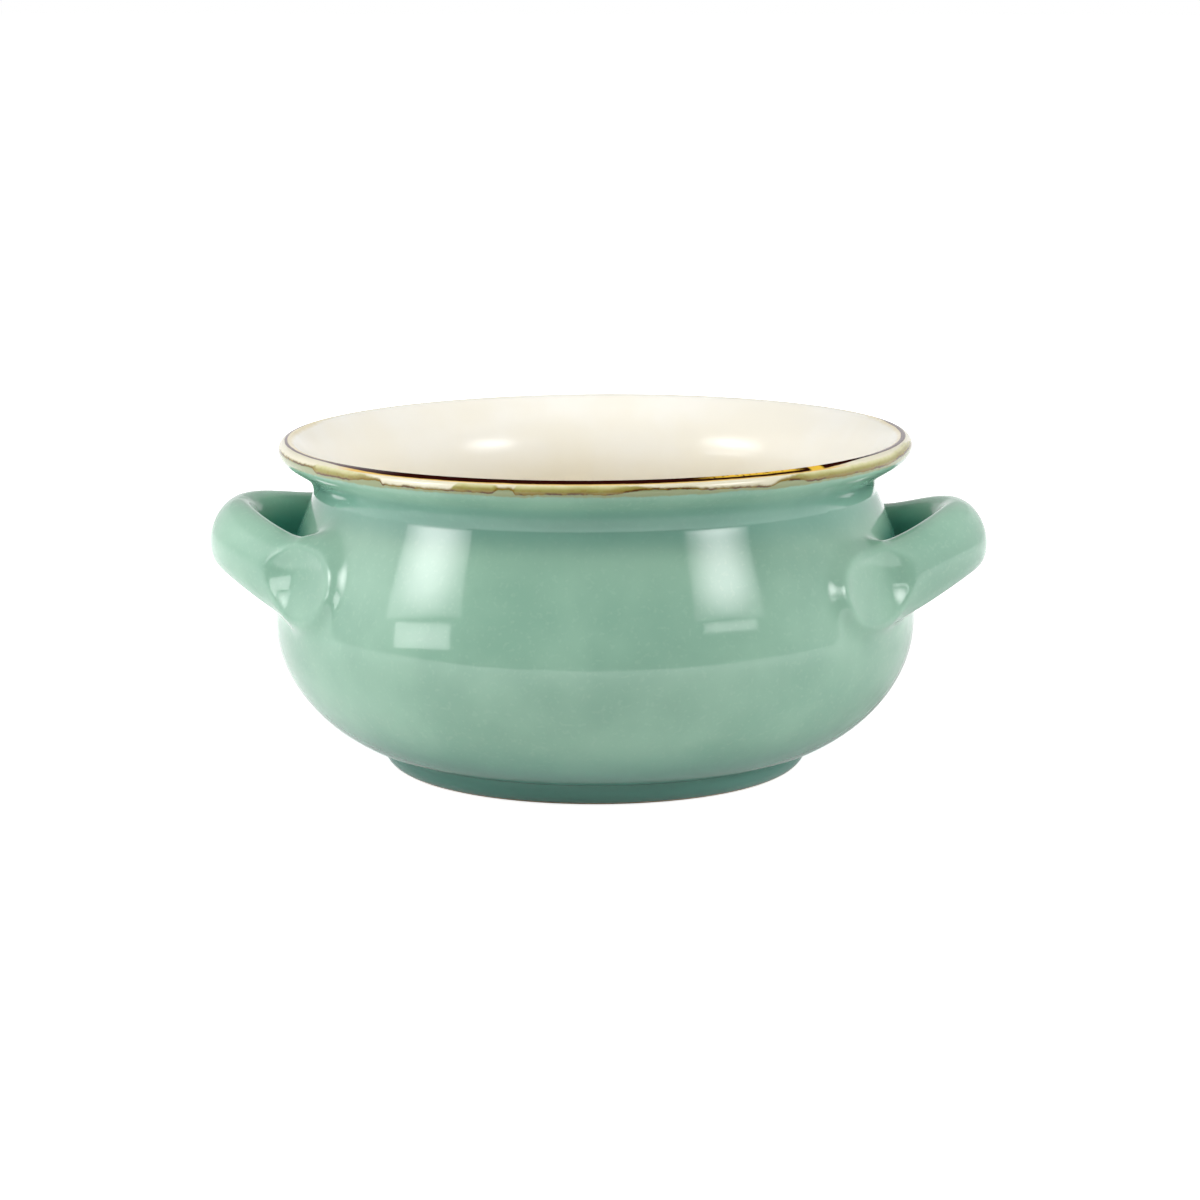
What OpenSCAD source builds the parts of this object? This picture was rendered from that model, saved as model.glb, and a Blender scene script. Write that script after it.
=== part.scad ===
// Round glazed baking dish with two loop handles, sizes in millimetres

/* [Bowl] */
// Diameter across the lip
rim_d = 210; // [200:1:220]
// Height from the table to the top of the lip
height = 111; // [105:1:117]
// Diameter of the belly at its widest
belly_d = 213; // [207:1:219]
// Height of the widest place on the belly
belly_z = 50.5; // [47:0.5:54]
// Diameter of the waist under the lip
neck_d = 187; // [181:1:193]
// Drop from the top of the lip to the waist
neck_drop = 17.5; // [15.5:0.5:19.5]
// Wall thickness with its glaze, also the width of the lip
wall = 6.4; // [5.6:0.2:7.2]

/* [Foot] */
// Diameter of the foot ring
foot_d = 141.5; // [134:0.5:148]
// Height of the foot ring
foot_h = 7.5; // [6:0.5:9]
// Width of the foot ring
foot_w = 16; // [13:1:20]
// Width of the rounding on the lower outside edge
foot_round = 8; // [5:0.5:10]

/* [Handles] */
// Width across both handles
span = 258; // [254:1:264]
// Height of the middle of the loop
grip_z = 78.5; // [76:0.5:81]
// Thickness of the roll in the middle of the loop
roll_t = 16; // [14:0.5:18]
// Height of the roll in the middle of the loop
roll_w = 22; // [20:0.5:24]
// Angle from the middle of the loop to a pressed end
end_angle = 28.5; // [26:0.5:31]
// Height of the middle of a pressed end
end_z = 68.5; // [66:0.5:71]
// Thickness of a pressed end, half of it sunk in the wall
end_t = 19; // [17:0.5:21]
// Height of a pressed end
end_w = 27; // [25:0.5:29]
// Depth of the thumb mark in a pressed end
mark_deep = 2; // [0.5:0.25:2.5]
// Diameter of the thumb mark
mark_d = 20; // [16:1:24]

/* [Glaze] */
// Thickness of the fired glaze
coat = 0.5; // [0.3:0.1:0.7]
// Height of the brushed band on the outside of the flare
band_w = 2.5; // [1:0.25:4]
// Width of the dark brushed line along the lip
line_w = 2; // [1.2:0.2:2.8]

/* [Hidden] */
$fn = 144;
rim_r = rim_d / 2;
belly_r = belly_d / 2;
neck_r = neck_d / 2;
foot_r = foot_d / 2;
lip_r = wall / 2;
lip_z = height - lip_r;
neck_z = height - neck_drop;
foot_rise = 0.9 * foot_h;
line_half = line_w / lip_r * 90 / PI;
line_mid = 84;
glaze_stop = 35;
ring_n = 20;
loop_n = 26;
cap_n = 4;

// Point and direction on a four-point curve
function at(c, t) = pow(1 - t, 3) * c[0] + 3 * pow(1 - t, 2) * t * c[1]
    + 3 * (1 - t) * t * t * c[2] + pow(t, 3) * c[3];
function heading(c, t) = pow(1 - t, 2) * (c[1] - c[0]) + 2 * (1 - t) * t * (c[2] - c[1])
    + t * t * (c[3] - c[2]);
function unit(v) = v / norm(v);
function steps(a, b, n) = [for (i = [0:n]) a + (b - a) * i / n];
function place_at_height(c, z) = lookup(z, [for (t = steps(0, 1, 50)) [at(c, t)[1], t]]);
function turned(list) = [for (i = [len(list) - 1:-1:0]) list[i]];
function rest(list) = [for (i = [1:len(list) - 1]) list[i]];

// Outside of the finished dish in three curves, foot to waist to lip
belly_up = belly_z - foot_h;
belly = [[foot_r, foot_h], [foot_r + 0.18 * belly_up, foot_h + 0.03 * belly_up],
    [belly_r, belly_z - 0.64 * belly_up], [belly_r, belly_z]];
shoulder_up = neck_z - belly_z;
shoulder = [[belly_r, belly_z], [belly_r, belly_z + 0.34 * shoulder_up],
    [neck_r, neck_z - 0.04 * shoulder_up], [neck_r, neck_z]];
flare_up = lip_z - neck_z;
flare = [[neck_r, neck_z], [neck_r, neck_z + 0.58 * flare_up],
    [rim_r, lip_z - 0.42 * flare_up], [rim_r, lip_z]];
band_from = place_at_height(flare, lip_z - band_w);

// The same curves sunk by a depth below the finished surface
function sunk(c, list, deep) = [for (t = list)
    let (v = unit(heading(c, t))) at(c, t) + deep * [-v[1], v[0]]];
function low_side(deep) = concat(sunk(belly, steps(0, 1, 14), deep),
    rest(sunk(shoulder, steps(0, 1, 12), deep)), rest(sunk(flare, steps(0, band_from, 7), deep)));
function band_side(deep) = sunk(flare, steps(band_from, 1, 3), deep);
function side(deep) = concat(low_side(deep), rest(band_side(deep)));
function lip(deep, a, b, n) = [for (w = steps(a, b, n))
    [rim_r - lip_r + (lip_r - deep) * cos(w), lip_z + (lip_r - deep) * sin(w)]];
function foot_edge(deep, a) = [for (w = steps(a, 90, 5))
    [foot_r - foot_round + (foot_round - deep) * sin(w), foot_rise * (1 - cos(w))]];
function floor_of(list) = [0, list[0][1]];
wall_radius = [for (p = side(0)) [p[1], p[0]]];

// Solid of the bowl up to the lip, used to fit the handles to the wall
module bowl_fill(deep) {
    edge = side(deep);
    rotate_extrude()
        polygon(concat([[0, foot_h], [foot_r - coat, foot_h]], edge, [[0, lip_z]]));
}

// Middle line of one handle: pressed end, loop, pressed end
end_r = lookup(end_z, wall_radius);
end_out = [cos(end_angle), -sin(end_angle), 0];
end_mid = (end_r - 1) * end_out + [0, 0, end_z];
end_way = unit([sin(end_angle), cos(end_angle), 0.03] + 0.24 * end_out);
grip_mid = [span / 2 - roll_t / 2, 0, grip_z];
arm_long = norm(grip_mid - end_mid);
arm = [end_mid, end_mid + 0.25 * arm_long * end_way, grip_mid - [0, 0.36 * arm_long, 0], grip_mid];
function flip(p) = [p[0], -p[1], p[2]];
function loop(s) = s <= 0 ? at(arm, 1 + s) : flip(at(arm, 1 - s));
function loop_way(s) = s <= 0 ? unit(heading(arm, 1 + s)) : -flip(unit(heading(arm, 1 - s)));
function ease(t) = let (k = max(0, min(1, t))) k * k * (3 - 2 * k);
function press(s) = ease(abs(s) / 0.85);

// One ring of the roll, beyond the end by a share of the end's height
function ring(s, past, deep) =
    let (way = loop_way(s),
        mid = loop(s),
        out = unit([mid[0], mid[1], 0.14 * norm([mid[0], mid[1]]) * (1 - press(s))]),
        thick = unit(out - (out * way) * way),
        tall = cross(way, thick),
        half_t = (roll_t + (end_t - roll_t) * press(s)) / 2 - deep,
        half_w = (roll_w + (end_w - roll_w) * press(s)) / 2 - deep,
        fit = sqrt(1 - past * past),
        shift = (s < 0 ? -1 : 1) * past * half_w)
    [for (i = [0:ring_n - 1])
        let (w = 360 * i / ring_n)
        dent(mid + shift * way + fit * (half_t * cos(w) * thick + half_w * sin(w) * tall), thick)];

// Thumb mark pressed into the face of each end
mark_at = end_mid + end_t / 2 * end_out;
function near(p, q) = exp(-pow(norm(p - q) / (mark_d / 2), 2));
function dent(p, thick) = p - mark_deep * (near(p, mark_at) + near(p, flip(mark_at))) * thick;

function roll_rings(deep) = concat(
    [for (k = [cap_n:-1:1]) ring(-1, sin(85 * k / cap_n), deep)],
    [for (s = steps(-1, 1, loop_n)) ring(s, 0, deep)],
    [for (k = [1:cap_n]) ring(1, sin(85 * k / cap_n), deep)]);

module roll(deep) {
    rings = roll_rings(deep);
    n = len(rings);
    tip = loop(-1) - loop_way(-1) * (end_w / 2 - deep);
    points = concat([for (r = rings) each r], [tip, flip(tip)]);
    skin = [for (j = [0:n - 2]) for (i = [0:ring_n - 1])
        let (k = (i + 1) % ring_n, a = j * ring_n + i, b = j * ring_n + k) each
            [[a, b + ring_n, b], [a, a + ring_n, b + ring_n]]];
    first = [for (i = [0:ring_n - 1]) [n * ring_n, i, (i + 1) % ring_n]];
    last = [for (i = [0:ring_n - 1])
        [n * ring_n + 1, (n - 1) * ring_n + (i + 1) % ring_n, (n - 1) * ring_n + i]];
    polyhedron(points, concat(skin, first, last));
}

module handle_clay() {
    difference() {
        roll(coat);
        bowl_fill(coat);
    }
}

module handle_coat() {
    difference() {
        roll(0);
        roll(coat);
        bowl_fill(coat);
    }
}

module vessel() {
    inner = side(wall - coat);
    color([0.86, 0.78, 0.66])
        rotate_extrude()
            polygon(concat([[0, foot_h], [foot_r - coat, foot_h]], side(coat),
                rest(lip(coat, 0, 180, 14)), rest(turned(inner)), [floor_of(inner)]));
}

module foot_ring() {
    color([0.82, 0.74, 0.62])
        rotate_extrude()
            polygon(concat([[foot_r - foot_w, foot_h], [foot_r - foot_w, 1], [foot_r - foot_w + 1, 0]],
                foot_edge(coat, 0), [[foot_r - coat, foot_h]]));
}

module left_handle() {
    color([0.86, 0.78, 0.66])
        mirror([1, 0, 0])
            handle_clay();
}

module right_handle() {
    color([0.86, 0.78, 0.66])
        handle_clay();
}

module outside_glaze() {
    color([0.56, 0.72, 0.63])
        difference() {
            rotate_extrude()
                polygon(concat(foot_edge(0, glaze_stop), low_side(0), turned(low_side(coat)),
                    [[foot_r - coat, foot_h]], turned(foot_edge(coat, glaze_stop))));
            roll(0);
            mirror([1, 0, 0])
                roll(0);
        }
}

module inside_glaze() {
    face = side(wall);
    back = side(wall - coat);
    color([0.95, 0.92, 0.84])
        rotate_extrude()
            polygon(concat([floor_of(face)], face, rest(lip(0, 180, line_mid + line_half, 6)),
                lip(coat, line_mid + line_half, 180, 6), rest(turned(back)), [floor_of(back)]));
}

module left_handle_glaze() {
    color([0.56, 0.72, 0.63])
        mirror([1, 0, 0])
            handle_coat();
}

module right_handle_glaze() {
    color([0.56, 0.72, 0.63])
        handle_coat();
}

module rim_band() {
    color([0.66, 0.6, 0.3])
        rotate_extrude()
            polygon(concat(band_side(0), rest(lip(0, 0, line_mid - line_half, 6)),
                lip(coat, line_mid - line_half, 0, 6), rest(turned(band_side(coat)))));
}

module rim_line() {
    color([0.24, 0.12, 0.1])
        rotate_extrude()
            polygon(concat(lip(0, line_mid - line_half, line_mid + line_half, 4),
                lip(coat, line_mid + line_half, line_mid - line_half, 4)));
}

vessel();
foot_ring();
left_handle();
right_handle();
outside_glaze();
inside_glaze();
left_handle_glaze();
right_handle_glaze();
rim_band();
rim_line();
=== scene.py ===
# %% [markdown]
# This lesson makes a round glazed baking dish for the oven and the table: a
# bowl thrown on the wheel, a foot ring, two loop handles pressed on by hand,
# an aqua glaze outside, a cream glaze inside and brushwork along the lip.
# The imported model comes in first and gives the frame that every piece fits.

# %% Bring in the frame
import math
import bpy
import numpy as np
from mathutils import Matrix


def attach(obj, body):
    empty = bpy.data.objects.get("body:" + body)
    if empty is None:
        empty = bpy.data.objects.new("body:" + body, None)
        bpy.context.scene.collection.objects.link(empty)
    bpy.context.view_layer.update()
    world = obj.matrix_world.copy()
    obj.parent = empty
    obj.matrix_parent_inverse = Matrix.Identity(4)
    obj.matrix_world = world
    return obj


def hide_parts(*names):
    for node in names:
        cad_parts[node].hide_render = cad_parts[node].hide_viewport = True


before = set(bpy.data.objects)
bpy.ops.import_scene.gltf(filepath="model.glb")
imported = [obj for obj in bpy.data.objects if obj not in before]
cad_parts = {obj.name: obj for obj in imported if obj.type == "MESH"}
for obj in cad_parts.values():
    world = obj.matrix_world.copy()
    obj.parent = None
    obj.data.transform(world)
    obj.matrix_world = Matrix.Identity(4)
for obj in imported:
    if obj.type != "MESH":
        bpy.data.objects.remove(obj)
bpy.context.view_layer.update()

MM = 0.001

# %% [markdown]
# The whole bowl follows one profile, the line that the potter's rib leaves on
# the turning clay. Three soft curves run from the foot over the full belly to
# the waist and out to the lip, and the lip is a half round as thick as the
# wall. All sizes are in millimetres until a mesh is made. The line could be
# drawn by hand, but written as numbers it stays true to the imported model.

# %% Sizes of the bowl
rim_r, height = 105.0, 111.0
belly_r, belly_z = 106.5, 50.5
neck_r, neck_z = 93.5, 93.5
wall, coat = 6.4, 0.5
foot_r, foot_h, foot_w, foot_round = 70.75, 7.5, 16.0, 8.0
lip_r = wall / 2
lip_z = height - lip_r
lean = 0.84  # the lip stands this much higher at the right
print("Bowl:", 2 * rim_r, "mm over the lip and", height, "mm high")

# %% The outside as three curves
# A curve has two ends and two pulls between them. The pulls are shares of the
# height that the curve climbs.
belly_up, shoulder_up, flare_up = belly_z - foot_h, neck_z - belly_z, lip_z - neck_z
belly = np.array([[foot_r, foot_h], [foot_r + 0.18 * belly_up, foot_h + 0.03 * belly_up],
                  [belly_r, belly_z - 0.64 * belly_up], [belly_r, belly_z]])
shoulder = np.array([[belly_r, belly_z], [belly_r, belly_z + 0.34 * shoulder_up],
                     [neck_r, neck_z - 0.04 * shoulder_up], [neck_r, neck_z]])
flare = np.array([[neck_r, neck_z], [neck_r, neck_z + 0.58 * flare_up],
                  [rim_r, lip_z - 0.42 * flare_up], [rim_r, lip_z]])


def along(curve, start, stop, count, deep=0.0):
    t = np.linspace(start, stop, count)[:, None]
    point = ((1 - t) ** 3 * curve[0] + 3 * (1 - t) ** 2 * t * curve[1]
             + 3 * (1 - t) * t ** 2 * curve[2] + t ** 3 * curve[3])
    way = ((1 - t) ** 2 * (curve[1] - curve[0]) + 2 * (1 - t) * t * (curve[2] - curve[1])
           + t ** 2 * (curve[3] - curve[2]))
    way /= np.linalg.norm(way, axis=1)[:, None]
    return point + deep * np.column_stack([-way[:, 1], way[:, 0]])


def lip(start, stop, count, deep=0.0):
    turn = np.radians(np.linspace(start, stop, count))
    return np.column_stack([rim_r - lip_r + (lip_r - deep) * np.cos(turn),
                            lip_z + (lip_r - deep) * np.sin(turn)])


def foot_edge(start, stop, count, deep=0.0):
    turn = np.radians(np.linspace(start, stop, count))
    return np.column_stack([foot_r - foot_round + (foot_round - deep) * np.sin(turn),
                            0.9 * foot_h * (1 - np.cos(turn))])


def side(deep, top, count):
    return np.vstack([along(belly, 0, 1, count, deep)[:-1], along(shoulder, 0, 1, count, deep)[:-1],
                      along(flare, 0, top, count // 2, deep)])


outline = side(0.0, 1.0, 200)
print("Profile:", len(outline), "points, widest", outline[:, 0].max() * 2, "mm")

# %% [markdown]
# Inside, the wall doesn't repeat the waist as sharply as outside: the fingers
# that opened the clay left one soft throat from the shoulder to the lip. A
# plain offset of the outside would kink there, so one more curve bridges it.
# It leaves the shoulder and meets the lip in their own directions, and the
# mirrored lamps run over both joins without a break.

# %% The soft throat inside
throat_low = 0.65  # where it leaves the shoulder, as a share of that curve
throat_turn = 136.0  # where it meets the lip, in degrees from the outer side
low_pull, high_pull = 10.0, 12.0
throat_foot = along(shoulder, throat_low - 0.01, throat_low, 2, wall)
throat_way = (throat_foot[1] - throat_foot[0]) / np.linalg.norm(throat_foot[1] - throat_foot[0])
throat_top = lip(throat_turn, throat_turn, 1)[0]
lip_way = np.array([math.sin(math.radians(throat_turn)), -math.cos(math.radians(throat_turn))])
throat = np.array([throat_foot[1], throat_foot[1] + low_pull * throat_way,
                   throat_top - high_pull * lip_way, throat_top])


def inner_side(behind, count):
    return np.vstack([along(belly, 0, 1, count, wall - behind)[:-1],
                      along(shoulder, 0, throat_low, count, wall - behind)[:-1],
                      along(throat, 0, 1, count, -behind)])


mouth = inner_side(0.0, 60)
print("Inner radius at the waist:", round(float(np.interp(neck_z, mouth[:, 1], mouth[:, 0])), 1), "mm")

# %% [markdown]
# A potter's wheel makes every ring of the bowl alike, so one node tree does
# the turning. It takes a piece's profile, lays out a grid with one row for
# each profile point and rolls the grid round the upright axis. The rim of this
# dish stands a little higher on the right, so the tree also leans the rings.
# Sharp edges stay sharp where two coats of glaze meet.


# %% What the wheel takes
def add(tree, kind, plugs=None, **settings):
    node = tree.nodes.new(kind)
    for name, value in settings.items():
        setattr(node, name, value)
    for name, value in (plugs or {}).items():
        if isinstance(value, bpy.types.NodeSocket):
            tree.links.new(value, node.inputs[name])
        else:
            node.inputs[name].default_value = value
    return node


def calc(tree, operation, *values):
    return add(tree, "ShaderNodeMath", dict(enumerate(values)), operation=operation).outputs[0]


wheel = bpy.data.node_groups.new("Turned on the wheel", "GeometryNodeTree")
for name, kind in (("Profile", "Geometry"), ("Segments", "Int"), ("Lean", "Float"),
                   ("Height", "Float"), ("Finish", "Material")):
    wheel.interface.new_socket(name, in_out="INPUT", socket_type="NodeSocket" + kind)
wheel.interface.new_socket("Piece", in_out="OUTPUT", socket_type="NodeSocketGeometry")
print("Wheel:", [socket.name for socket in wheel.interface.items_tree])

# %% A grid, and the place on the profile of each of its points
given = add(wheel, "NodeGroupInput").outputs
size = add(wheel, "GeometryNodeAttributeDomainSize", {"Geometry": given["Profile"]}).outputs
rows = size["Point Count"]
columns = calc(wheel, "ADD", given["Segments"], 1.0)
grid = add(wheel, "GeometryNodeMeshGrid", {"Vertices X": columns, "Vertices Y": rows}).outputs
place = add(wheel, "ShaderNodeSeparateXYZ", {0: grid["UV Map"]}).outputs
last_row = calc(wheel, "SUBTRACT", rows, 1.0)
row = calc(wheel, "MULTIPLY", place["Y"], last_row)
row = calc(wheel, "ROUND", row)
where = add(wheel, "GeometryNodeInputPosition").outputs[0]
spot = add(wheel, "GeometryNodeSampleIndex", {"Geometry": given["Profile"], "Index": row, "Value": where},
           data_type="FLOAT_VECTOR").outputs[0]
spot = add(wheel, "ShaderNodeSeparateXYZ", {0: spot}).outputs
print("Grid:", len(wheel.nodes), "nodes so far")

# %% Roll the grid round the axis
turn = calc(wheel, "MULTIPLY", place["X"], 2 * math.pi)
cosine = calc(wheel, "COSINE", turn)
sine = calc(wheel, "SINE", turn)
x = calc(wheel, "MULTIPLY", spot["X"], cosine)
y = calc(wheel, "MULTIPLY", spot["X"], sine)
slope = calc(wheel, "MULTIPLY", x, given["Lean"])
slope = calc(wheel, "DIVIDE", slope, given["Height"])
z = calc(wheel, "MULTIPLY_ADD", spot["Z"], slope, spot["Z"])
ring = add(wheel, "ShaderNodeCombineXYZ", {"X": x, "Y": y, "Z": z}).outputs[0]
rolled = add(wheel, "GeometryNodeSetPosition", {"Geometry": grid["Mesh"], "Position": ring}).outputs[0]
closed = add(wheel, "GeometryNodeMergeByDistance", {"Geometry": rolled, "Distance": 1e-6}).outputs[0]
smooth = add(wheel, "GeometryNodeSetShadeSmooth", {"Geometry": closed}, domain="FACE").outputs[0]
bend = add(wheel, "GeometryNodeInputMeshEdgeAngle").outputs["Unsigned Angle"]
sharp_from = math.radians(40)
corner = calc(wheel, "GREATER_THAN", bend, sharp_from)
crisp = add(wheel, "GeometryNodeSetShadeSmooth",
            {"Geometry": smooth, "Selection": corner, "Shade Smooth": False}, domain="EDGE").outputs[0]
whole = add(wheel, "GeometryNodeRealizeInstances", {"Geometry": crisp}).outputs[0]
done = add(wheel, "GeometryNodeSetMaterial", {"Geometry": whole, "Material": given["Finish"]}).outputs[0]
add(wheel, "NodeGroupOutput", {"Piece": done})
print("Wheel:", len(wheel.nodes), "nodes")


# %% Turn one piece and make it a plain mesh
def turned(name, profile, finish, segments=320):
    points = [(r * MM, 0.0, z * MM) for r, z in profile]
    mesh = bpy.data.meshes.new(name)
    mesh.from_pydata(points, [(i, i + 1) for i in range(len(points) - 1)], [])
    piece = bpy.data.objects.new(name, mesh)
    bpy.context.scene.collection.objects.link(piece)
    spin = piece.modifiers.new("Wheel", "NODES")
    spin.node_group = wheel
    values = {"Segments": segments, "Lean": lean / rim_r, "Height": height * MM, "Finish": finish}
    for socket in wheel.interface.items_tree:
        if socket.in_out == "INPUT" and socket.name in values:
            spin[socket.identifier] = values[socket.name]
    depsgraph = bpy.context.evaluated_depsgraph_get()
    result = bpy.data.meshes.new_from_object(piece.evaluated_get(depsgraph))
    piece.modifiers.remove(spin)
    piece.data = result
    bpy.data.meshes.remove(mesh)
    result.name = name
    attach(piece, "root")
    print(name, len(result.vertices), "points", len(result.polygons), "faces")
    return piece


# %% [markdown]
# Bare clay shows only where the dish stands: the flat under the foot ring, the
# hollow inside it and a thin buff line where the glaze was wiped off. Fired
# stoneware is matt and a little gritty, so its colour varies in soft clouds
# with fine dark grains. Clouds of noise in real millimetres give both.


# %% Colours, clouds and ramps
def colour(code):
    parts = [int(code[i:i + 2], 16) / 255 for i in (0, 2, 4)]
    return [v / 12.92 if v <= 0.04045 else ((v + 0.055) / 1.055) ** 2.4 for v in parts] + [1.0]


def new_material(name):
    material = bpy.data.materials.new(name)
    material.use_nodes = True
    tree = material.node_tree
    tree.nodes.clear()
    here = add(tree, "ShaderNodeTexCoord").outputs["Object"]
    return material, tree, here


def cloud(tree, here, size_mm, detail=2.0):
    return add(tree, "ShaderNodeTexNoise", {"Vector": here, "Scale": 1 / (size_mm * MM),
                                            "Detail": detail}).outputs["Fac"]


def mixed(tree, amount, first, second):
    return add(tree, "ShaderNodeMix", {"Factor": amount, 6: first, 7: second}, data_type="RGBA").outputs[2]


def ramp(tree, value, low, high, to_low=0.0, to_high=1.0):
    return add(tree, "ShaderNodeMapRange", {"Value": value, "From Min": low, "From Max": high,
                                            "To Min": to_low, "To Max": to_high},
               interpolation_type="SMOOTHSTEP").outputs[0]


print("Mid grey in linear light:", round(colour("808080")[0], 3))


# %% Fired clay
def surface(tree, base, rough, bump=None, bump_mm=0.02, gloss=0.5):
    plugs = {"Base Color": base, "Roughness": rough, "IOR": 1.5, "Specular IOR Level": gloss}
    if bump is not None:
        plugs["Normal"] = add(tree, "ShaderNodeBump", {"Height": bump, "Strength": 1.0,
                                                       "Distance": bump_mm * MM}).outputs[0]
    shader = add(tree, "ShaderNodeBsdfPrincipled", plugs)
    add(tree, "ShaderNodeOutputMaterial", {"Surface": shader.outputs[0]})


# Wiped clay: a dry buff with no mirror in it.
clay, tree, here = new_material("Fired stoneware clay, wiped bare")
tint = mixed(tree, ramp(tree, cloud(tree, here, 9, 3), 0.35, 0.65), colour("C9B899"), colour("B7A586"))
grains = ramp(tree, cloud(tree, here, 0.7), 0.62, 0.72, 0.0, 0.6)
tint = mixed(tree, grains, tint, colour("7E6A4E"))
surface(tree, tint, 0.75, cloud(tree, here, 0.5), 0.03)
print("Clay:", len(tree.nodes), "nodes")

# %% [markdown]
# The clay body is the thrown wall with its floor, and the foot ring stands
# under it. Both are turned from closed profiles. Where glaze covers them they
# sit one coat below the finished surface, as the dish did after its first
# firing.

# %% Clay body and foot ring
inner = inner_side(coat, 24)[::-1]
body_line = np.vstack([[[0, foot_h], [foot_r - coat, foot_h]], side(coat, 1.0, 24),
                       lip(0, throat_turn, 13, coat)[1:-1], inner, [[0, inner[-1, 1]]]])
body = turned("clay_body", body_line, clay, 192)
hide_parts("vessel")

wiped = 35  # the glaze is wiped off below this turn of the foot's edge, in degrees
foot_in, chamfer = foot_r - foot_w, 1.0
ring_line = np.vstack([[[foot_in, foot_h], [foot_in, chamfer], [foot_in + chamfer, 0.0]],
                       foot_edge(0, wiped, 9), foot_edge(wiped, 90, 15, coat),
                       [[foot_r - coat, foot_h], [foot_in, foot_h]]])
ring_piece = turned("clay_foot", ring_line, clay, 256)
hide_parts("foot_ring")

# %% [markdown]
# The outside glaze is a glass about half a millimetre thick, coloured with a
# little copper and fired glossy. It runs slowly in the kiln and is paler in soft
# clouds on the belly. The waist and the band just above the foot are painted a
# deeper green: painted shade, for the lip's shadow on the waist and the dish's
# own shade where it meets the table. The gloss stays clear and the surface only
# undulates very slightly, so lamps mirror with soft clean edges.


# %% Places on the glaze
def between(tree, value, start, full, thin, stop):
    return calc(tree, "MULTIPLY", ramp(tree, value, start, full), ramp(tree, value, stop, thin))


def in_mm(tree, here):
    place = add(tree, "ShaderNodeVectorMath", {0: here, "Scale": 1 / MM}, operation="SCALE").outputs[0]
    part = add(tree, "ShaderNodeSeparateXYZ", {0: place}).outputs
    flat = add(tree, "ShaderNodeCombineXYZ", {"X": part["X"], "Y": part["Y"]}).outputs[0]
    radius = add(tree, "ShaderNodeVectorMath", {0: flat}, operation="LENGTH").outputs["Value"]
    return part["X"], part["Y"], part["Z"], radius


# the waist is where the aqua is painted darker, as painted shade under the lip
print("Waist, where the glaze pools:", neck_z, "mm up and", neck_r, "mm out")


# %% Aqua glaze
def aqua_tint(tree, here):
    x, y, z, radius = in_mm(tree, here)
    drift = ramp(tree, cloud(tree, here, 26, 3), 0.3, 0.7)
    tint = mixed(tree, drift, colour("8CB6A0"), colour("99C2AB"))
    fleck = ramp(tree, cloud(tree, here, 1.6, 1), 0.55, 0.75, 0.0, 0.22)
    tint = mixed(tree, fleck, tint, colour("A9CDB8"))
    # painted shade: the waist under the lip's overhang and the last 30 mm above the foot are mixed towards a
    # darker green, standing for the lip's shadow and the foot's contact shade
    painted_waist_shade = between(tree, z, neck_z - 10, neck_z, neck_z + 4, neck_z + 13)
    painted_waist_shade = calc(tree, "MULTIPLY", painted_waist_shade, ramp(tree, radius, neck_r + 8, neck_r + 3, 0.0, 0.55))
    painted_foot_shade = ramp(tree, z, 30, 3, 0.0, 1.0)
    tint = mixed(tree, calc(tree, "MAXIMUM", painted_waist_shade, painted_foot_shade), tint, colour("699D90"))
    # painted shade: behind each loop, in the hollow between loop and wall, the glaze is painted darker and
    # greener
    painted_loop_shade = ramp(tree, calc(tree, "ABSOLUTE", y), 36, 22)
    painted_loop_shade = calc(tree, "MULTIPLY", painted_loop_shade, ramp(tree, radius, 115, 108))
    painted_loop_shade = calc(tree, "MULTIPLY", painted_loop_shade, between(tree, z, 56, 62, 77, 88))
    painted_loop_shade = calc(tree, "MULTIPLY", painted_loop_shade, ramp(tree, calc(tree, "ABSOLUTE", x), 70, 84))
    return mixed(tree, painted_loop_shade, tint, colour("64A898"))


# Dipped gloss: clear mirrored lamps over a milky green that clouds a little.
aqua, tree, here = new_material("Aqua gloss glaze, dipped and fired")
polish = ramp(tree, cloud(tree, here, 8), 0.2, 0.8, 0.05, 0.09)
surface(tree, aqua_tint(tree, here), polish, cloud(tree, here, 14), 0.05)
print("Aqua glaze:", len(tree.nodes), "nodes")

# %% Outside coat
band_foot = 0.845  # where the brushed band takes over, as a share of the flare
outside_line = np.vstack([foot_edge(wiped, 90, 16), along(belly, 0, 1, 70), along(shoulder, 0, 1, 60)[1:],
                          along(flare, 0, band_foot, 30)[1:], along(flare, band_foot, 0, 8, coat),
                          along(shoulder, 1, 0, 12, coat)[1:], along(belly, 1, 0, 14, coat)[1:],
                          foot_edge(90, wiped, 8, coat), foot_edge(wiped, wiped, 1)])
outside = turned("outside_coat", outside_line, aqua, 384)
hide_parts("outside_glaze")

# %% [markdown]
# Each handle is a roll of clay bent into a loop. Its ends were flattened to pads
# on the wall, a thumb pressed a round dent at each end, and the joins were
# smoothed with slip, so handle and wall flow together. A bevelled curve would
# meet the wall in a hard line. A distance field gives the flow: the swept roll
# and its pads join by a soft minimum, a ball takes away the thumb mark, and one
# more soft minimum with the wall makes the fillet. The two handles differ by a
# millimetre or two, as hand work does.

# %% The path of a handle
# A path has two arms, from the wall at the front and at the back to the middle
# of the grip. Its place s runs from -1 at the front to 1 at the back.
def wall_radius(z):
    return np.interp(z, outline[:, 1], outline[:, 0])


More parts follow.
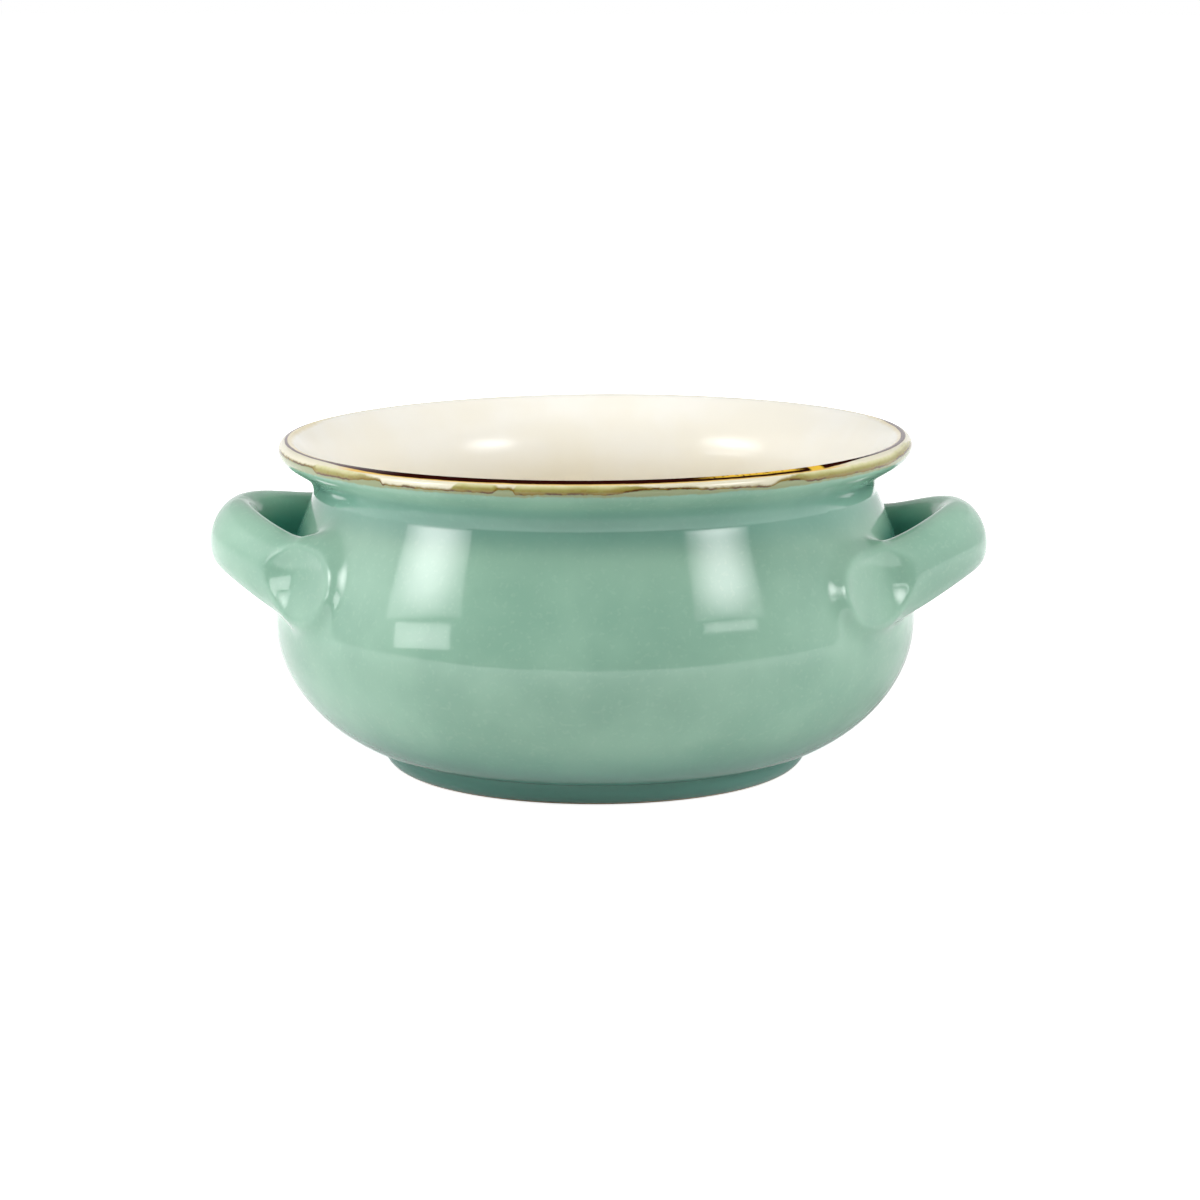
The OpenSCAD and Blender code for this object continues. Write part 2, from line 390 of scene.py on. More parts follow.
def arm_points(hand, end, turn):
    angle, z, first = math.radians(end[0]), end[1], end[2]
    out = np.array([math.cos(angle), -math.sin(angle), 0.0])
    start = (wall_radius(z) - hand["sunk"]) * out + [0, 0, z]
    way = np.array([math.sin(angle), math.cos(angle), hand["climb"]]) + hand["away"] * out
    way /= np.linalg.norm(way)
    grip = np.array([hand["grip_x"], 0.0, hand["grip_z"]])
    length = np.linalg.norm(grip - start)
    points = np.array([start, start + first * length * way,
                       grip + [0, -hand["bow"] * length, hand["arch"]], grip])
    return points * [1, turn, 1]


grip_ease = 0.08  # rounds the peak of the arch where the arms meet


def on_path(hand, arms, s):
    t = (1 - np.abs(s))[:, None]
    flip = np.where(s <= 0, 1.0, -1.0)
    a, b, c, d = (np.where(s[:, None] <= 0, arms[0][i], arms[1][i]) for i in range(4))
    point = (1 - t) ** 3 * a + 3 * (1 - t) ** 2 * t * b + 3 * (1 - t) * t ** 2 * c + t ** 3 * d
    speed = 3 * flip[:, None] * ((1 - t) ** 2 * (b - a) + 2 * (1 - t) * t * (c - b) + t ** 2 * (d - c))
    turning = 6 * ((1 - t) * (c - 2 * b + a) + t * (d - 2 * c + b))
    soft = np.sqrt(s ** 2 + grip_ease ** 2)
    point[:, 2] += 3 * hand["arch"] * (soft - np.abs(s))
    speed[:, 2] += 3 * hand["arch"] * (s / soft + flip)
    return point, speed, turning


print("Wall where the handles join:", round(float(wall_radius(70.0)), 1), "mm from the axis")

# %% Distance to the roll
cap = 9.0  # how far the round ends of the roll reach past its path


def eased(t):
    t = np.clip(t, 0, 1)
    return t * t * (3 - 2 * t)


def roll_distance(p, hand, arms):
    knots = np.linspace(-1, 1, 61)
    line = on_path(hand, arms, knots)[0]
    s = knots[np.argmin(((p[:, None, :] - line[None]) ** 2).sum(2), axis=1)]
    for step in range(4):
        point, speed, turning = on_path(hand, arms, s)
        miss = ((point - p) * speed).sum(1)
        gain = (speed ** 2).sum(1) + ((point - p) * turning).sum(1)
        s = np.clip(s - miss / np.maximum(gain, 0.3 * (speed ** 2).sum(1)), -1, 1)
    point, speed = on_path(hand, arms, s)[:2]
    way = speed / np.linalg.norm(speed, axis=1)[:, None]
    far = np.abs(s)
    press = eased(far / hand["knee"])
    out = point * [1, 1, 0]
    out[:, 2] = hand["tilt"] * (1 - press) * np.linalg.norm(out, axis=1)
    thick = out - (out * way).sum(1)[:, None] * way
    thick /= np.linalg.norm(thick, axis=1)[:, None]
    tall = np.cross(way, thick)
    half_t = (hand["grip_t"] + (hand["end_t"] - hand["grip_t"]) * press) / 2
    slim = 4 * hand["waist"] * far * (1 - far)
    half_w = (hand["grip_w"] + (hand["end_w"] - hand["grip_w"]) * press - slim) / 2
    gap = p - point
    u, v = (gap * thick).sum(1), (gap * tall).sum(1)
    past = (gap * way).sum(1) / cap
    across = np.maximum(np.hypot(u / half_t, v / half_w), 1e-3)
    near = np.sqrt(across ** 2 + past ** 2)
    slope = np.sqrt((u / half_t ** 2) ** 2 + (v / half_w ** 2) ** 2 + (past / cap) ** 2) / near
    return (near - 1) / np.maximum(slope, 0.02)


print("Flattening a quarter and half of the way to the knee:", eased(0.25), eased(0.5))


# %% Distances to the wall and to a pad
def wall_distance(p, rise):
    z = p[:, 2] / (1 + rise / rim_r * p[:, 0] / height)
    steep = (wall_radius(z + 0.2) - wall_radius(z - 0.2)) / 0.4
    return (np.hypot(p[:, 0], p[:, 1]) - wall_radius(z)) / np.sqrt(1 + steep ** 2)


def soft_min(a, b, width):
    share = np.maximum(width - np.abs(a - b), 0) / width
    return np.minimum(a, b) - share ** 3 * width / 6


join_r = 104.0  # radius at which a pad's width is measured round the wall


def pad_distance(p, wall_gap, pad, turn):
    angle, z, proud, wide, tall = pad
    around = join_r * (np.arctan2(-turn * p[:, 1], p[:, 0]) - math.radians(angle))
    share = np.abs(np.column_stack([(wall_gap + 1) / proud, around / wide, (p[:, 2] - z) / tall])) + 1e-4
    near = np.sqrt((share ** 2).sum(1))
    slope = np.linalg.norm(share / [proud, wide, tall], axis=1) / near
    return (near - 1) / np.maximum(slope, 0.02)


print("A 12 mm fillet fills a corner by", round(float(-soft_min(0.0, 0.0, 12.0)), 2), "mm")

# %% Roll, pads, thumb marks and wall in one field
pad_join, thumb_edge = 12.0, 2.2
loop_fillet, outer_fillet = 4.5, 12.0
tucked, dip, buried = 0.006, 0.8, 1.9  # the skin's depth under the wall's surface


def handle_field(p, hand, arms, marks, rise):
    wall_gap = wall_distance(p, rise)
    roll = roll_distance(p, hand, arms)
    for end, turn in (("front_pad", 1.0), ("back_pad", -1.0)):
        roll = soft_min(roll, pad_distance(p, wall_gap, hand[end], turn), pad_join)
    for centre, radius in marks:
        ball = np.linalg.norm(p - centre, axis=1) - radius
        roll = -soft_min(-roll, ball, thumb_edge)
    angle = np.degrees(np.arctan2(np.abs(p[:, 1]), p[:, 0]))
    fillet = loop_fillet + (outer_fillet - loop_fillet) * eased((angle - 22) / 13)
    # past the fillet the skin dips under the wall's coat, and it ends there
    edge = roll - wall_gap - fillet
    wall_gap = wall_gap + tucked + dip * eased((edge - 1.5) / 1.5)
    joined = soft_min(wall_gap, roll, fillet)
    return np.maximum(np.maximum(joined, -wall_gap - buried), 0.7 * (edge - 3.5))


print("Fillets:", loop_fillet, "mm inside the loop and", outer_fillet, "mm outside it")

# %% [markdown]
# A net over the field gives the mesh. Each small cell that the surface crosses
# gets one point, each crossed cell edge gets one face, and the points then
# slide onto the exact surface, so the gloss shows no steps.


# %% A net over the field
def net_over(field, low, high, step):
    axes = [np.arange(a, b, step) for a, b in zip(low, high)]
    shape = [len(a) for a in axes]
    cells = np.stack(np.meshgrid(*axes, indexing="ij"), -1).reshape(-1, 3)
    value = np.concatenate([field(part) for part in np.array_split(cells, 40)]).reshape(shape)
    total = np.zeros([n - 1 for n in shape] + [3])
    count = np.zeros([n - 1 for n in shape])
    crossings = []
    for axis in range(3):
        first = np.moveaxis(value, axis, 0)[:-1]
        second = np.moveaxis(value, axis, 0)[1:]
        hit = np.moveaxis((first < 0) != (second < 0), 0, axis)
        where = np.argwhere(hit)
        a = np.moveaxis(first, 0, axis)[hit]
        b = np.moveaxis(second, 0, axis)[hit]
        point = where.astype(float)
        point[:, axis] += a / (a - b)
        u, v = [i for i in range(3) if i != axis]
        for du in (0, 1):
            for dv in (0, 1):
                home = where.copy()
                home[:, u] -= du
                home[:, v] -= dv
                fits = np.all((home >= 0) & (home < np.array(shape) - 1), axis=1)
                np.add.at(total, tuple(home[fits].T), point[fits])
                np.add.at(count, tuple(home[fits].T), 1)
        crossings.append((axis, u, v, where, a < 0))
    number = -np.ones(count.shape, int)
    number[count > 0] = np.arange((count > 0).sum())
    points = (total[count > 0] / count[count > 0][:, None]) * step + np.array(low)
    faces = []
    for axis, u, v, where, rising in crossings:
        corners = []
        for du, dv in ((0, 0), (1, 0), (1, 1), (0, 1)):
            home = where.copy()
            home[:, u] -= du
            home[:, v] -= dv
            corners.append(number[tuple(home.T)])
        quad = np.stack(corners, 1)
        flip = rising if axis != 1 else ~rising
        quad[~flip] = quad[~flip][:, ::-1]
        faces.append(quad)
    return points, np.vstack(faces)


nudge = 0.05  # step for measuring the field's slope


def settled(points, faces, field, rounds):
    pairs = np.vstack([faces[:, [i, (i + 1) % 4]] for i in range(4)])
    for turn in range(rounds):
        if turn:
            total, count = np.zeros_like(points), np.zeros(len(points))
            for a, b in ((0, 1), (1, 0)):
                np.add.at(total, pairs[:, a], points[pairs[:, b]])
                np.add.at(count, pairs[:, a], 1)
            points = 0.5 * points + 0.5 * total / count[:, None]
        for step in range(3):
            here = field(points)
            slope = [(field(points + d) - field(points - d)) / (2 * nudge) for d in nudge * np.eye(3)]
            slope = np.stack(slope, 1)
            points = points - slope * (here / np.maximum((slope ** 2).sum(1), 0.2))[:, None]
    return points


def trial_ball(p):
    return np.linalg.norm(p, axis=1) - 5.0


trial_faces = net_over(trial_ball, (-7, -7, -7), (7.5, 7.5, 7.5), 1.0)[1]
print("Trial: a 10 mm ball takes", len(trial_faces), "faces")

# %% Measures of the two handles
# front, back: degrees from the grip, height, and how far the end's pull reaches
# sunk, away, climb: where an end starts in the wall and which way it leaves
# bow, arch: pull along and above the grip; grip, end: place, thickness, width
# waist, knee, tilt: slimming between, reach of the flattening, slant of the grip
# pads: degrees, height, how proud, half width, half height
# mark: degrees, facing, slant, distance out, height, thumb's radius, depth
right_hand = {"front": (24.7, 68.7, 0.27), "back": (24.4, 68.4, 0.25),
              "sunk": 0.9, "away": 0.255, "climb": -0.07, "bow": 0.35, "arch": 3.4,
              "grip_x": 121.5, "grip_z": 77.1, "grip_t": 16.8, "grip_w": 24.6,
              "waist": 1.1, "end_t": 18.0, "end_w": 28.0, "knee": 1.12, "tilt": 0.32,
              "front_pad": (31.0, 68.9, 8.0, 16.5, 12.5), "back_pad": (31.0, 69.3, 7.0, 14.5, 13.0),
              "mark": (27.2, 60, 19, 110.8, 68.2, 30.0, 4.4)}
left_hand = {"front": (25.3, 68.5, 0.25), "back": (25.3, 70.9, 0.25),
             "sunk": 0.5, "away": 0.26, "climb": 0.0, "bow": 0.39, "arch": 3.2,
             "grip_x": 120.3, "grip_z": 76.9, "grip_t": 15.7, "grip_w": 24.4,
             "waist": 1.2, "end_t": 18.8, "end_w": 28.5, "knee": 1.12, "tilt": 0.28,
             "front_pad": (29.8, 70.1, 8.2, 14.8, 14.2), "back_pad": (31.0, 71.0, 7.5, 15.0, 14.0),
             "mark": (27.0, 57, 10, 111.1, 70.2, 36.0, 4.0)}
print("Grips:", right_hand["grip_t"], "and", left_hand["grip_t"], "mm thick")

# %% The two handles
net_low, net_high, net_step = (58, -92, 34), (134, 92, 104), 1.0


def handle(name, mirror, hand, finish):
    arms = [arm_points(hand, hand["front"], 1.0), arm_points(hand, hand["back"], -1.0)]
    marks = []
    for turn in (1.0, -1.0):
        place, facing, up = (math.radians(v) for v in hand["mark"][:3])
        out, z, radius, deep = hand["mark"][3:]
        spot = np.array([out * math.cos(place), -out * math.sin(place) * turn, z])
        aim = np.array([math.cos(facing) * math.cos(up), -math.sin(facing) * math.cos(up) * turn,
                        math.sin(up)])
        marks.append((spot + aim * (radius - deep), radius))
    rise = -lean if mirror else lean

    def field(p):
        return handle_field(p, hand, arms, marks, rise)

    points, faces = net_over(field, net_low, net_high, net_step)
    points = settled(points, faces, field, 3)
    if mirror:
        points, faces = points * [-1, 1, 1], faces[:, ::-1]
    mesh = bpy.data.meshes.new(name)
    mesh.from_pydata((points * MM).tolist(), [], faces.tolist())
    mesh.validate()
    mesh.shade_smooth()
    mesh.materials.append(finish)
    piece = bpy.data.objects.new(name, mesh)
    bpy.context.scene.collection.objects.link(piece)
    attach(piece, "root")
    print(name, len(mesh.vertices), "points", len(mesh.polygons), "faces")
    return piece


right = handle("right_loop", False, right_hand, aqua)
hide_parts("right_handle", "right_handle_glaze")
left = handle("left_loop", True, left_hand, aqua)
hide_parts("left_handle", "left_handle_glaze")

# %% [markdown]
# The lip was brushed by hand after dipping. A dark iron line runs along the
# crest, matt where it is thick, thinned at the sides and worn to gold at the
# right. Thin amber shows at its lower edge, and below it a pale wash ends in an
# olive edge with brown dashes before the aqua begins. The pale of that wash is
# partly the brush's colour and partly a painted highlight, the lamp above
# mirrored along the top of the lip. Where the loaded brush lapped over, olive
# fills the whole wash. A painted picture could hold all this, but rules keep it
# sharp at any size: the paint follows the distance along the lip, from the outer
# side over the crest to the inside, and the angle round the bowl, and noise lets
# the brush wander.

# %% Where the brush lapped and where its lower edge sinks
# Angles are in degrees from the front, towards the right. A stretch rises from
# its first angle to its second and fades from its third to its fourth.
laps = ((-58, -56, -46, -38), (-23.6, -22, -16, -14.6), (-12.3, -11.5, 4, 12.5), (35, 43, 78, 90),
        (92, 95, 120, 134), (150, 153, 171, 178), (-176, -172, -150, -139), (-128, -124, -101, -88))
low_edge = ((-58, -56, -48, -38.6), (-38.3, -37.4, -16, -14.7), (-12.4, -11.7, 3, 12),
            (12.2, 28, 33, 35.6), (36, 44, 62, 80), (92, 95, 120, 134), (140, 153, 171, 178),
            (-176, -172, -150, -130), (-128, -124, -101, -75))
print("Brush:", len(laps), "laps,", len(low_edge), "sinking stretches")


# %% Places along the lip
def stretches(tree, round_it, spans):
    covered = 0.0
    for span in spans:
        covered = calc(tree, "MAXIMUM", covered, between(tree, round_it, *span))
    return covered


def along_lip(tree, here):
    x, y, z, radius = in_mm(tree, here)
    out = calc(tree, "SUBTRACT", radius, rim_r - lip_r)
    up = calc(tree, "SUBTRACT", calc(tree, "MULTIPLY_ADD", x, -lean / rim_r, z), lip_z)
    over = calc(tree, "ARCTAN2", calc(tree, "MAXIMUM", up, 0.0), out)
    down = calc(tree, "MULTIPLY", calc(tree, "MINIMUM", up, 0.0), calc(tree, "SIGN", out))
    run = calc(tree, "MULTIPLY_ADD", over, lip_r, down)
    round_it = calc(tree, "ARCTAN2", x, calc(tree, "MULTIPLY", y, -1.0))
    round_it = calc(tree, "MULTIPLY", round_it, 180 / math.pi)
    # at the back the brush ran further out
    return calc(tree, "ADD", run, ramp(tree, y, 22, 52, 0.0, 1.6)), round_it


def wander(tree, here, run, size_mm, swing):
    off = calc(tree, "SUBTRACT", cloud(tree, here, size_mm), 0.5)
    return calc(tree, "MULTIPLY_ADD", off, 2 * swing, run)


print("Way over the lip:", round(math.pi * lip_r, 1), "mm, crest at", round(math.pi * lip_r / 2, 2), "mm")


# %% The wash below the line
broad_swing, fine_swing = 0.6, 0.4  # how far the brush wanders, in millimetres


def washed(tree, here, run, round_it, below):
    lap = stretches(tree, round_it, laps)
    loose = wander(tree, here, run, 9, broad_swing)
    loose = wander(tree, here, loose, 2.2, fine_swing)
    deep = calc(tree, "MULTIPLY_ADD", stretches(tree, round_it, low_edge), 1.4, loose)
    deep = calc(tree, "SUBTRACT", deep, 0.6)
    olive = mixed(tree, ramp(tree, deep, 0.1, 1.3), colour("80691E"), colour("A49F58"))
    mottle = ramp(tree, cloud(tree, here, 2.2, 3), 0.42, 0.62, 0.0, 0.45)
    olive = mixed(tree, mottle, olive, colour("8C6F28"))
    olive = mixed(tree, ramp(tree, deep, 1.2, 2.7), olive, colour("D6D39C"))
    laid = ramp(tree, calc(tree, "MULTIPLY_ADD", lap, -2.2, deep), 1.2, 0.2)
    # painted highlight in part: the pale EAE4CA of the unlapped wash also stands for the lamp above,
    # mirrored along the top of the lip
    wash = mixed(tree, laid, colour("EAE4CA"), olive)
    dash = ramp(tree, cloud(tree, here, 5, 3), 0.44, 0.57)
    dash = calc(tree, "MULTIPLY", dash, ramp(tree, calc(tree, "ABSOLUTE", deep), 0.65, 0.2))
    wash = mixed(tree, dash, wash, colour("56300F"))
    bleed = mixed(tree, ramp(tree, loose, -2.0, -1.2), below, colour("98A278"))
    tint = mixed(tree, ramp(tree, deep, -0.3, 0.15), bleed, wash)
    return tint, loose


print("Wash: its lower edge wanders by up to", broad_swing + fine_swing, "mm")


# %% The iron line and its amber edge
def brushed(tree, here, below, inside):
    run, round_it = along_lip(tree, here)
    tint, loose = washed(tree, here, run, round_it, below)
    amber = calc(tree, "MULTIPLY", ramp(tree, run, 2.1, 2.5), between(tree, round_it, -52, -44, 46, 54))
    tint = mixed(tree, amber, tint, colour("E6BC62"))
    at_left = between(tree, round_it, -33, -60, -150, -178)
    steady = wander(tree, here, run, 7, 0.2)
    outer = calc(tree, "MULTIPLY_ADD", at_left, -1.3, steady)
    outer = calc(tree, "MULTIPLY_ADD", between(tree, round_it, 43, 60, 150, 178), -1.5, outer)
    worn = calc(tree, "MULTIPLY", between(tree, round_it, 18, 26, 38, 42), ramp(tree, steady, 3.3, 3.9))
    worn = calc(tree, "MULTIPLY", worn, ramp(tree, cloud(tree, here, 1.5), 0.25, 0.5))
    worn = calc(tree, "MAXIMUM", worn, between(tree, round_it, 42.2, 43, 45.2, 46.2))
    at_right = calc(tree, "MULTIPLY", between(tree, round_it, 55, 70, 150, 178), 0.5)
    thin = calc(tree, "MAXIMUM", calc(tree, "MULTIPLY", at_left, 0.6), at_right)
    iron = mixed(tree, worn, colour("2A0A06"), colour("EFC244"))
    iron = mixed(tree, thin, iron, colour("8A7478"))
    inner = calc(tree, "MULTIPLY_ADD", at_left, 0.8, steady)
    line = calc(tree, "MULTIPLY", ramp(tree, outer, 2.5, 2.8), ramp(tree, inner, 5.9, 5.5))
    tint = mixed(tree, ramp(tree, inner, 5.4, 5.8), tint, colour("EEDFB6"))
    tint = mixed(tree, line, tint, iron)
    tint = mixed(tree, ramp(tree, loose, 5.8, 7.8), tint, inside)
    # thick iron is matt, so the gloss falls to nothing on it
    matt = calc(tree, "MULTIPLY", line, calc(tree, "SUBTRACT", 1.0, thin))
    return tint, calc(tree, "MULTIPLY_ADD", matt, -0.5, 0.5)


cream = colour("FAF8F0")
line_from, line_to = 66, 102  # turn of the lip under the iron line, in degrees
print("Iron line:", round(math.radians(line_to - line_from) * lip_r, 1), "mm wide")

# %% Brushed band
# A glossy wash: olive that thins to a cream that is partly a painted highlight, with a wet look.
ochre, tree, here = new_material("Ochre wash brushed over the aqua glaze")
tint, gloss = brushed(tree, here, aqua_tint(tree, here), cream)
surface(tree, tint, 0.08, cloud(tree, here, 2.5), 0.04, gloss)
print("Ochre wash:", len(tree.nodes), "nodes")
band_line = np.vstack([along(flare, band_foot, 1, 12), lip(0, line_from, 24)[1:], lip(line_from, 0, 8, coat),
                       along(flare, 1, band_foot, 5, coat)[1:], along(flare, band_foot, band_foot, 1)])
band = turned("lip_band", band_line, ochre, 384)
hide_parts("rim_band")

# %% Brushed line
# Iron oxide: nearly black, dry on the crest and a little satin at the sides.
iron, tree, here = new_material("Iron brown line brushed on the lip")
tint, gloss = brushed(tree, here, aqua_tint(tree, here), cream)
surface(tree, tint, 0.22, cloud(tree, here, 2.5), 0.04, gloss)
crest_line = np.vstack([lip(line_from, line_to, 14), lip(line_to, line_from, 6, coat),
                        lip(line_from, line_from, 1)])
crest = turned("lip_line", crest_line, iron, 384)
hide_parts("rim_line")

# %% [markdown]
# The inside carries a warm cream glaze, white tin glaze over buff clay. It is
# whitest high on the wall and turns a shade warmer towards the floor, with a
# faint yellow stain under the lip where the brushed iron ran.

# %% Cream glaze
# Poured tin glaze: a soft white with broad, slightly blurred mirrored lamps.
milk, tree, here = new_material("Cream gloss glaze, poured inside")
drift = ramp(tree, cloud(tree, here, 30, 3), 0.3, 0.7)
tint = mixed(tree, drift, cream, colour("F8F4E7"))
up = in_mm(tree, here)[2]
tint = mixed(tree, ramp(tree, up, 60, 20), tint, colour("FDF3DE"))
tint, gloss = brushed(tree, here, tint, tint)
polish = ramp(tree, cloud(tree, here, 9), 0.2, 0.8, 0.14, 0.2)
surface(tree, tint, polish, cloud(tree, here, 16), 0.05, gloss)
print("Cream glaze:", len(tree.nodes), "nodes")

# %% Inside coat
face = inner_side(0.0, 56)[::-1]
hidden = inner_side(coat, 20)
inside_line = np.vstack([lip(line_to, throat_turn, 16)[:-1], face,
                         [[0, face[-1, 1]], [0, hidden[0, 1]]], hidden,
                         lip(throat_turn, line_to, 6, coat)[1:], lip(line_to, line_to, 1)])
inside = turned("inside_coat", inside_line, milk, 320)
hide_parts("inside_glaze")

# %% [markdown]
# The stage is a white table that runs back into a white room, with two soft
# boxes beside the camera and fills at the sides. The room behind the camera is
# dim and the ceiling brightens from there to above the dish. Only mirrored rays
# see these two, so the glossy belly shows a dim field above the table's edge, as
# a glazed dish does in a studio. The background is plain white for the camera
# and for mirrored rays. The table keeps the shadow of the foot, and its left
# side, which lies under the brighter soft box, throws light back at the dish.


# %% White table
def sheet_of(name, points, faces, material):
    mesh = bpy.data.meshes.new(name)
    mesh.from_pydata(points, [], faces)
    mesh.materials.append(material)
    thing = bpy.data.objects.new(name, mesh)
    bpy.context.scene.collection.objects.link(thing)
    return thing


def seen_directly(tree):
    path = add(tree, "ShaderNodeLightPath").outputs
    seen = calc(tree, "MAXIMUM", path["Is Camera Ray"], path["Is Glossy Ray"])
    return calc(tree, "MAXIMUM", seen, path["Is Transmission Ray"])


white, tree, here = new_material("White table")
diffuse = add(tree, "ShaderNodeBsdfDiffuse", {"Color": colour("F0F0F0")}).outputs[0]
away = add(tree, "ShaderNodeVectorMath", {0: here}, operation="LENGTH").outputs["Value"]
direct = add(tree, "ShaderNodeLightPath").outputs["Is Camera Ray"]
aside = add(tree, "ShaderNodeSeparateXYZ", {0: here}).outputs["X"]
# near the dish mirrored rays see a dimmer table than the camera, half a metre out both see white
near = ramp(tree, aside, -0.04, -0.12, 0.15, 0.55)
near = ramp(tree, direct, 0.0, 1.0, near, 0.85)
lift = ramp(tree, away, 0.1, 0.5, near, 1.0)
lift = calc(tree, "MULTIPLY", lift, seen_directly(tree))
# the left side also glows for every ray, so it lights the dish
bounce = ramp(tree, aside, -0.06, -0.3, 0.0, 0.75)
lift = calc(tree, "MAXIMUM", lift, bounce)
glow = add(tree, "ShaderNodeEmission", {"Color": [1, 1, 1, 1], "Strength": lift}).outputs[0]
both = add(tree, "ShaderNodeAddShader", {0: diffuse, 1: glow}).outputs[0]
add(tree, "ShaderNodeOutputMaterial", {"Surface": both})
left_end, right_end, front_end, back_end = -3, 3, -0.75, 6
corners = [(left_end, front_end, 0), (right_end, front_end, 0),
           (right_end, back_end, 0), (left_end, back_end, 0)]
sheet_of("table", corners, [(0, 1, 2, 3)], white)
print("Table:", right_end - left_end, "m wide, its front edge", -front_end, "m before the dish")


# %% Dim room and ceiling
def shaded(name, start, stop, darkest, palest):
    material, tree, here = new_material(name)
    towards = add(tree, "ShaderNodeSeparateXYZ", {0: here}).outputs["Y"]
    grey = ramp(tree, towards, start, stop, darkest, palest)
    shade = add(tree, "ShaderNodeEmission", {"Color": [1, 1, 1, 1], "Strength": grey}).outputs[0]
    add(tree, "ShaderNodeOutputMaterial", {"Surface": shade})
    return material


room_r, room_low, room_high = 2.4, -1.5, 1.6
turns = [math.radians(a) for a in range(-108, 109, 6)]
points = [(room_r * math.sin(a), -room_r * math.cos(a), z) for a in turns for z in (room_low, room_high)]
faces = [(2 * i, 2 * i + 1, 2 * i + 3, 2 * i + 2) for i in range(len(turns) - 1)]
room = sheet_of("room", points, faces, shaded("Dim grey room", -1.3, -0.2, 0.12, 0.85))

points = [(-2.3, -2.5, room_high), (2.3, -2.5, room_high), (2.3, 8, room_high), (-2.3, 8, room_high)]
ceiling = sheet_of("ceiling", points, [(3, 2, 1, 0)], shaded("Dark ceiling", -1.4, -0.3, 0.22, 0.68))
for thing in (room, ceiling):
    thing.visible_camera = False
    thing.visible_diffuse = False
    thing.visible_shadow = False
print("Room:", len(faces), "panels up to", room_high, "m")

# %% White surroundings
world = bpy.data.worlds.new("Studio")
bpy.context.scene.world = world
world.use_nodes = True
tree = world.node_tree
tree.nodes.clear()
level = ramp(tree, seen_directly(tree), 0.0, 1.0, 0.01, 1.0)
sky = add(tree, "ShaderNodeBackground", {"Color": [1, 1, 1, 1], "Strength": level}).outputs[0]
add(tree, "ShaderNodeOutputWorld", {"Surface": sky})
print("Surroundings:", len(tree.nodes), "nodes")

# %% [markdown]
# A soft box is a lamp behind a stretched cloth: bright in the middle and fading
# to its edges. Each main box has a narrower strip below it, which gives the
# mirrored box its step. A lamp's own nodes make the fade, so the boxes stay
# plain area lamps. They are placed by their angle round the dish, in degrees
# from the front, and by their lower and upper edge in metres.

# %% Soft boxes
lamp_distance = 1.2


def soft_box(name, azimuth, aside, width, low, high, roll, watts, edge):
    lamp = bpy.data.lights.new(name, "AREA")
    lamp.shape = "RECTANGLE"
    lamp.size, lamp.size_y, lamp.energy = width, high - low, watts
    lamp.use_nodes = True
    tree = lamp.node_tree
    tree.nodes.clear()
    spot = add(tree, "ShaderNodeNewGeometry").outputs["Parametric"]
    off = add(tree, "ShaderNodeVectorMath", {0: spot, 1: (0.5, 0.5, 0.0)}, operation="DISTANCE")
    level = ramp(tree, off.outputs["Value"], 0.05, 0.6, 1.0, edge)
    shine = add(tree, "ShaderNodeEmission", {"Strength": level}).outputs[0]
    add(tree, "ShaderNodeOutputLight", {"Surface": shine})
    thing = bpy.data.objects.new(name, lamp)
    turn = math.radians(azimuth)
    thing.location = (lamp_distance * math.sin(turn) + aside * math.cos(turn),
                      -lamp_distance * math.cos(turn) + aside * math.sin(turn), (low + high) / 2)
    thing.rotation_euler = (Matrix.Rotation(turn, 3, "Z") @ Matrix.Rotation(math.pi / 2, 3, "X")
                            @ Matrix.Rotation(math.radians(roll), 3, "Z")).to_euler()
    bpy.context.scene.collection.objects.link(thing)
    print(name, watts, "W")
    return thing


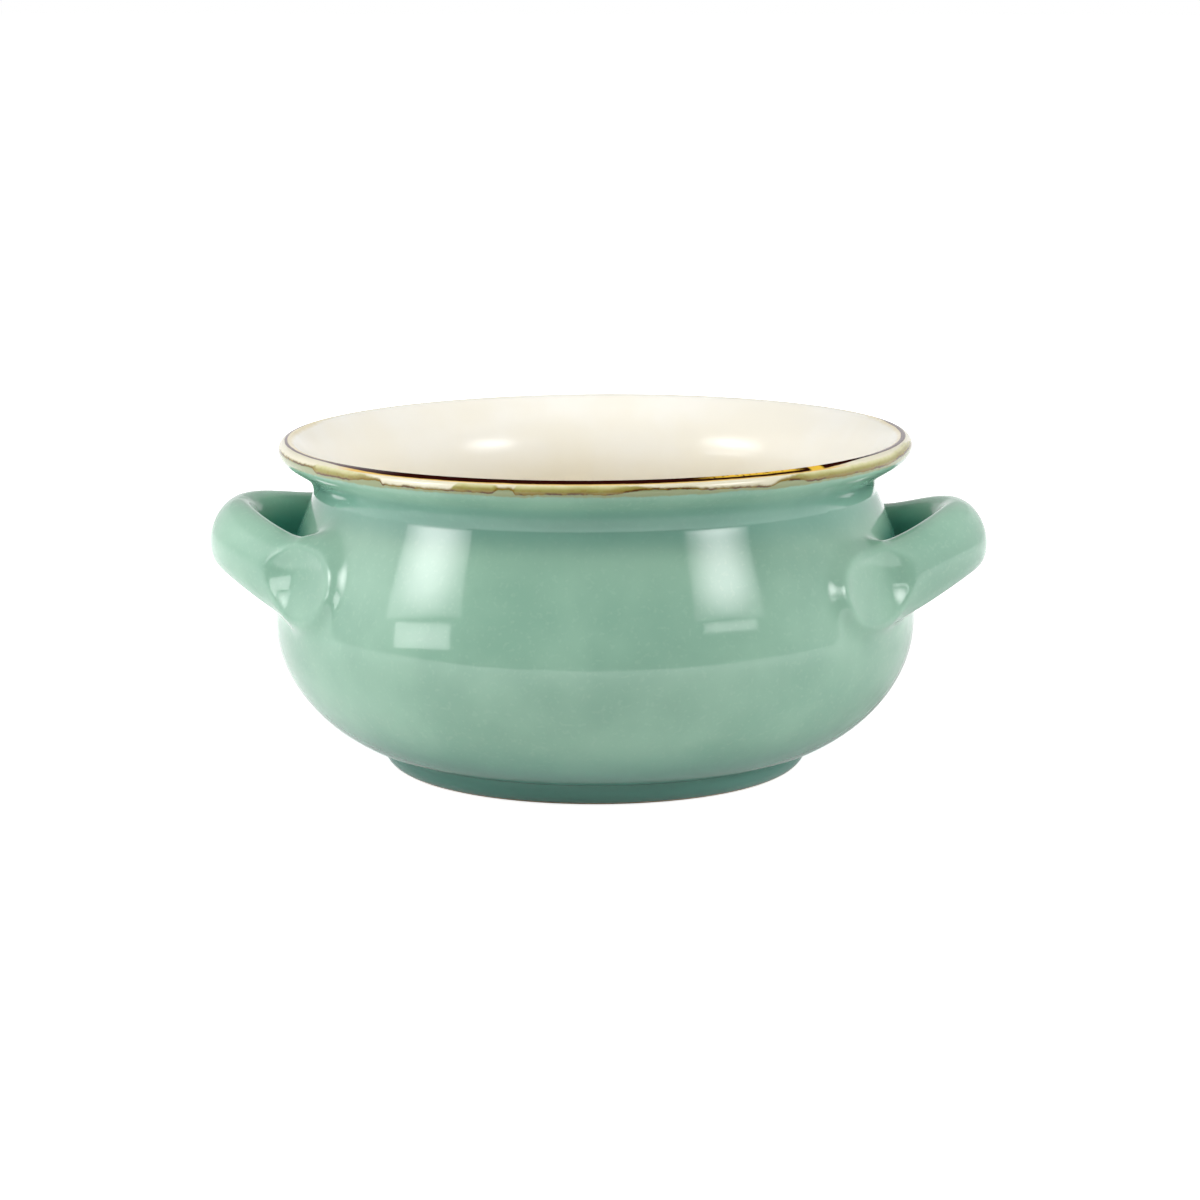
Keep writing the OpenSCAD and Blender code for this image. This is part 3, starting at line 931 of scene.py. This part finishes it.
soft_box("left_soft_box", azimuth=-64, aside=-0.015, width=0.65, low=0.40, high=0.87, roll=15,
         watts=10.5, edge=0.2)
soft_box("left_soft_box_foot", azimuth=-64, aside=0.08, width=0.48, low=0.15, high=0.375, roll=12,
         watts=2.0, edge=0.7)
soft_box("right_soft_box", azimuth=51, aside=0.02, width=0.58, low=0.455, high=0.87, roll=-8,
         watts=7.9, edge=0.15)
soft_box("right_soft_box_foot", azimuth=51, aside=-0.015, width=0.42, low=0.365, high=0.435, roll=-6,
         watts=0.42, edge=0.7)
soft_box("left_fill", azimuth=-90, aside=0.0, width=1.3, low=0.0, high=1.1, roll=0, watts=4.6, edge=0.0)
fill = soft_box("right_fill", azimuth=80, aside=0.0, width=1.2, low=0.05, high=1.05, roll=0,
                watts=7.6, edge=1.0)

# %% Light from above
lamp = bpy.data.lights.new("overhead_soft_box", "AREA")
lamp.shape, lamp.size, lamp.energy = "SQUARE", 1.0, 13.5
overhead = bpy.data.objects.new("overhead_soft_box", lamp)
overhead.location = (-0.2, -0.35, 1.5)
overhead.rotation_euler = (math.radians(13), 0, 0)
bpy.context.scene.collection.objects.link(overhead)
# these two only fill shadows, so the glaze doesn't mirror them
for thing in (fill, overhead):
    thing.visible_glossy = False
print("Overhead:", lamp.size, "m square,", lamp.energy, "W")

# %% [markdown]
# The camera looks at the dish from a little above the rim, from far enough
# away that the ellipse of the mouth stays slim. The dish is turned two degrees
# from the camera's line, so its right handle comes slightly forward.

# %% Camera
picture = 1200  # pixels along a side of the picture
focal, shift_right, shift_up = 4185.8, 4.812, -1.5  # in those pixels
sensor = 36.0
distance, eye, pitch, yaw = 1.37632, 0.3061, 0.18, 0.032  # metres and radians

camera = bpy.data.cameras.new("camera")
camera.sensor_width = sensor
camera.lens = sensor * focal / picture
camera.shift_x = shift_right / picture
camera.shift_y = shift_up / picture
camera.clip_start = 0.05
viewer = bpy.data.objects.new("camera", camera)
viewer.location = (distance * math.sin(yaw), -distance * math.cos(yaw), eye)
viewer.rotation_euler = (math.pi / 2 - pitch, 0, yaw)
bpy.context.scene.collection.objects.link(viewer)
bpy.context.scene.camera = viewer
bpy.context.scene.view_settings.view_transform = "Standard"
print("Camera:", round(camera.lens, 1), "mm lens,", round(math.degrees(pitch), 1), "degrees down")
